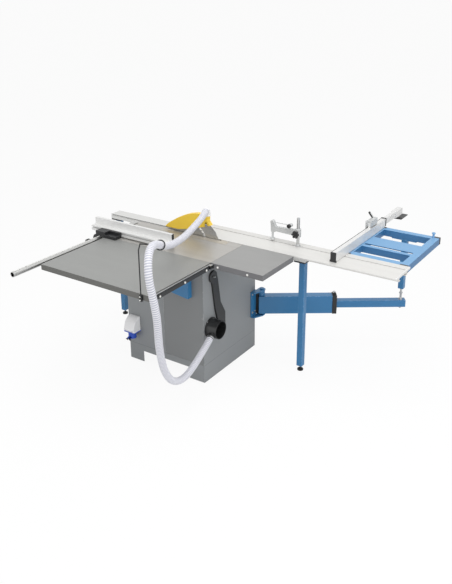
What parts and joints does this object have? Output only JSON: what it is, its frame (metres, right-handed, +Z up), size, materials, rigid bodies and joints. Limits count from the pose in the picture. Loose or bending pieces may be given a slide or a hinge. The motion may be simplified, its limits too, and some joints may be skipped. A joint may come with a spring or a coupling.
{
  "type": "sliding table saw",
  "caption": "Sliding table saw with a tilting and rising blade, outrigger on a swing arm, rip and crosscut fences, and guard extraction by a ribbed hose.",
  "frame": {"origin": "centre of the footprint's box, on the floor", "axes": "+X along the feed towards the outfeed side, +Y across from the rip side to the sliding table's side, +Z up"},
  "size_m": [2.24, 2.305, 1.1786],
  "materials": {
    "cabinet_paint": "satin",
    "side_paint": "satin",
    "black_rubber": "matte",
    "cast_table": "ground",
    "grey_paint": "satin",
    "blue_paint": "gloss",
    "alu": "anodised",
    "black_steel": "satin",
    "black_plastic": "matte",
    "white_plastic": "satin",
    "blue_plastic": "satin",
    "yellow_plastic": "satin",
    "hose_plastic": "satin",
    "steel": "brushed",
    "grey_iron": "cast",
    "belt_rubber": "matte",
    "green_plastic": "gloss",
    "red_plastic": "gloss",
    "motor_paint": "satin",
    "alu_cast": "cast"
  },
  "bodies": {
    "machine": {"cabinet": "cabinet_paint", "side_panel": "side_paint", "levelling_feet": "black_rubber", "main_table": "cast_table", "table_insert": "alu", "extension_table": "grey_paint", "extension_brackets": "blue_paint", "outfeed_table": "grey_paint", "edge_rail": "black_steel", "table_bolts": "white_plastic", "fence_rail": "steel", "rail_brackets": "black_steel", "hose_holder": "black_steel", "dust_port": "black_plastic", "dust_duct": "grey_paint", "inlet_box": "white_plastic", "inlet_socket": "blue_plastic", "guide_beam": "alu", "support_legs": "blue_paint", "arm_bracket": "blue_paint", "trunnions": "grey_iron", "switch_box": "black_plastic", "hose": "hose_plastic"},
    "socket_lid": {"inlet_lid": "blue_plastic"},
    "stick": {"push_stick": "black_plastic"},
    "start_key": {"start_button": "green_plastic"},
    "stop_key": {"stop_button": "red_plastic"},
    "door": {"service_door": "cabinet_paint"},
    "saw_unit": {"tilt_cradle": "grey_iron"},
    "arbor_unit": {"arbor_slide": "grey_iron", "motor": "motor_paint", "drive_belt": "belt_rubber", "riving_knife": "steel"},
    "spindle": {"arbor_shaft": "steel", "saw_blade": "steel"},
    "motor_drive": {"motor_pulley": "alu_cast"},
    "guard": {"blade_guard": "yellow_plastic", "guard_elbow": "white_plastic"},
    "lift_spindle": {"lift_screw": "steel"},
    "height_wheel": {"height_handwheel": "black_plastic"},
    "tilt_wheel": {"tilt_handwheel": "black_plastic"},
    "rip_head": {"rip_fence_head": "black_steel"},
    "rip_bar": {"rip_fence": "alu"},
    "clamp_knob": {"rip_clamp_knob": "black_plastic"},
    "adjust_knob": {"fine_adjust_knob": "black_plastic"},
    "rollers": {"roller_cage": "steel"},
    "sliding_table": {"carriage": "alu", "outrigger_frame": "blue_paint", "outrigger_caps": "black_plastic", "outrigger_post": "blue_paint", "clamp_post": "steel"},
    "hold_down": {"hold_down_arm": "alu_cast"},
    "hold_down_clamp": {"hold_down_knob": "black_plastic"},
    "swing_arm": {"arm_outer": "blue_paint", "arm_collar": "black_plastic"},
    "arm_bar": {"arm_inner": "blue_paint"},
    "cross_bar": {"crosscut_fence": "alu", "fence_shoe": "black_plastic"},
    "cross_tail": {"fence_extension": "alu"},
    "stop": {"flip_stop": "alu_cast"}
  },
  "joints": [
    {"name": "tilt", "type": "hinge", "parent": "machine", "child": "saw_unit", "pos_m": [-0.346, -0.0305, 0.85], "axis": [1, 0, 0], "range_deg": [0, 45]},
    {"name": "lift", "type": "slide", "parent": "saw_unit", "child": "arbor_unit", "axis": [0, 0, 1], "range_m": [-0.05, 0], "deforming": ["hose"]},
    {"name": "guard_swing", "type": "hinge", "parent": "arbor_unit", "child": "guard", "pos_m": [-0.185, -0.0305, 0.94], "axis": [0, 1, 0], "range_deg": [0, 14]},
    {"name": "spindle_spin", "type": "hinge", "parent": "arbor_unit", "child": "spindle", "pos_m": [-0.346, -0.0305, 0.778], "axis": [0, 1, 0], "continuous": true},
    {"name": "motor_spin", "type": "hinge", "parent": "arbor_unit", "child": "motor_drive", "pos_m": [-0.346, -0.1575, 0.6], "axis": [0, 1, 0], "continuous": true},
    {"name": "screw_turn", "type": "hinge", "parent": "saw_unit", "child": "lift_spindle", "pos_m": [-0.46, -0.0845, 0.65], "axis": [0, 0, 1], "range_deg": [0, 901]},
    {"name": "height_wheel_turn", "type": "hinge", "parent": "saw_unit", "child": "height_wheel", "pos_m": [-0.62, -0.0845, 0.56], "axis": [1, 0, 0], "range_deg": [0, 901]},
    {"name": "tilt_wheel_turn", "type": "hinge", "parent": "machine", "child": "tilt_wheel", "pos_m": [-0.62, -0.11969, 0.70727], "axis": [1, 0, 0], "range_deg": [-901, 0]},
    {"name": "carriage_travel", "type": "slide", "parent": "machine", "child": "sliding_table", "axis": [1, 0, 0], "range_m": [-1.26, 0]},
    {"name": "roller_travel", "type": "slide", "parent": "machine", "child": "rollers", "axis": [1, 0, 0], "range_m": [-0.631, 0]},
    {"name": "arm_swing", "type": "hinge", "parent": "machine", "child": "swing_arm", "pos_m": [0.075, 0.2325, 0.354], "axis": [0, 0, 1], "range_deg": [-40, 95]},
    {"name": "arm_extension", "type": "slide", "parent": "swing_arm", "child": "arm_bar", "axis": [0.8268, 0.5626, 0], "range_m": [-0.42, 0]},
    {"name": "fence_swing", "type": "hinge", "parent": "sliding_table", "child": "cross_bar", "pos_m": [0.7015, 0.2328, 0.851], "axis": [0, 0, 1], "range_deg": [-30, 45]},
    {"name": "tail_slide", "type": "slide", "parent": "cross_bar", "child": "cross_tail", "axis": [0, 1, 0], "range_m": [-0.08, 0.19]},
    {"name": "stop_flip", "type": "hinge", "parent": "cross_bar", "child": "stop", "pos_m": [0.701, 0.6045, 0.935], "axis": [0, 1, 0], "range_deg": [0, 90]},
    {"name": "hold_down_height", "type": "slide", "parent": "sliding_table", "child": "hold_down", "axis": [0, 0, 1], "range_m": [-0.012, 0.06]},
    {"name": "hold_down_clamp_turn", "type": "hinge", "parent": "hold_down", "child": "hold_down_clamp", "pos_m": [0.392, 0.1185, 0.939], "axis": [0, 1, 0], "range_deg": [-180, 180]},
    {"name": "rip_head_travel", "type": "slide", "parent": "machine", "child": "rip_head", "axis": [0, 1, 0], "range_m": [-0.4, 0.12]},
    {"name": "rip_bar_travel", "type": "slide", "parent": "rip_head", "child": "rip_bar", "axis": [1, 0, 0], "range_m": [-0.12, 0.1]},
    {"name": "clamp_knob_turn", "type": "hinge", "parent": "rip_head", "child": "clamp_knob", "pos_m": [-0.85, -0.3825, 0.828], "axis": [1, 0, 0], "range_deg": [-90, 90]},
    {"name": "adjust_knob_turn", "type": "hinge", "parent": "rip_head", "child": "adjust_knob", "pos_m": [-0.84, -0.4475, 0.828], "axis": [0, 1, 0], "continuous": true},
    {"name": "door_swing", "type": "hinge", "parent": "machine", "child": "door", "pos_m": [-0.592, -0.3535, 0.295], "axis": [0, 0, 1], "range_deg": [0, 110]},
    {"name": "lid_swing", "type": "hinge", "parent": "machine", "child": "socket_lid", "pos_m": [-0.528, -0.4785, 0.204], "axis": [1, 0, 0], "range_deg": [-95, 0], "stiffness_Nm_per_rad": 0.02, "springref_deg": 34.38},
    {"name": "start_press", "type": "slide", "parent": "machine", "child": "start_key", "axis": [1, 0, 0], "range_m": [0, 0.004], "stiffness_N_per_m": 600, "springref_m": -0.002},
    {"name": "stop_press", "type": "slide", "parent": "machine", "child": "stop_key", "axis": [1, 0, 0], "range_m": [0, 0.004], "stiffness_N_per_m": 600, "springref_m": -0.002},
    {"name": "stick_pull", "type": "slide", "parent": "machine", "child": "stick", "axis": [1, 0, 0], "range_m": [0, 0.03]}
  ],
  "couplings": [
    {"joint": "guard_swing", "follows": "lift", "rad_per_m": -4.4},
    {"joint": "screw_turn", "follows": "lift", "rad_per_m": -314.16},
    {"joint": "height_wheel_turn", "follows": "lift", "rad_per_m": -314.16},
    {"joint": "tilt_wheel_turn", "follows": "tilt", "ratio": -20},
    {"joint": "motor_spin", "follows": "spindle_spin", "ratio": 0.7619},
    {"joint": "roller_travel", "follows": "carriage_travel", "ratio": 0.5}
  ]
}
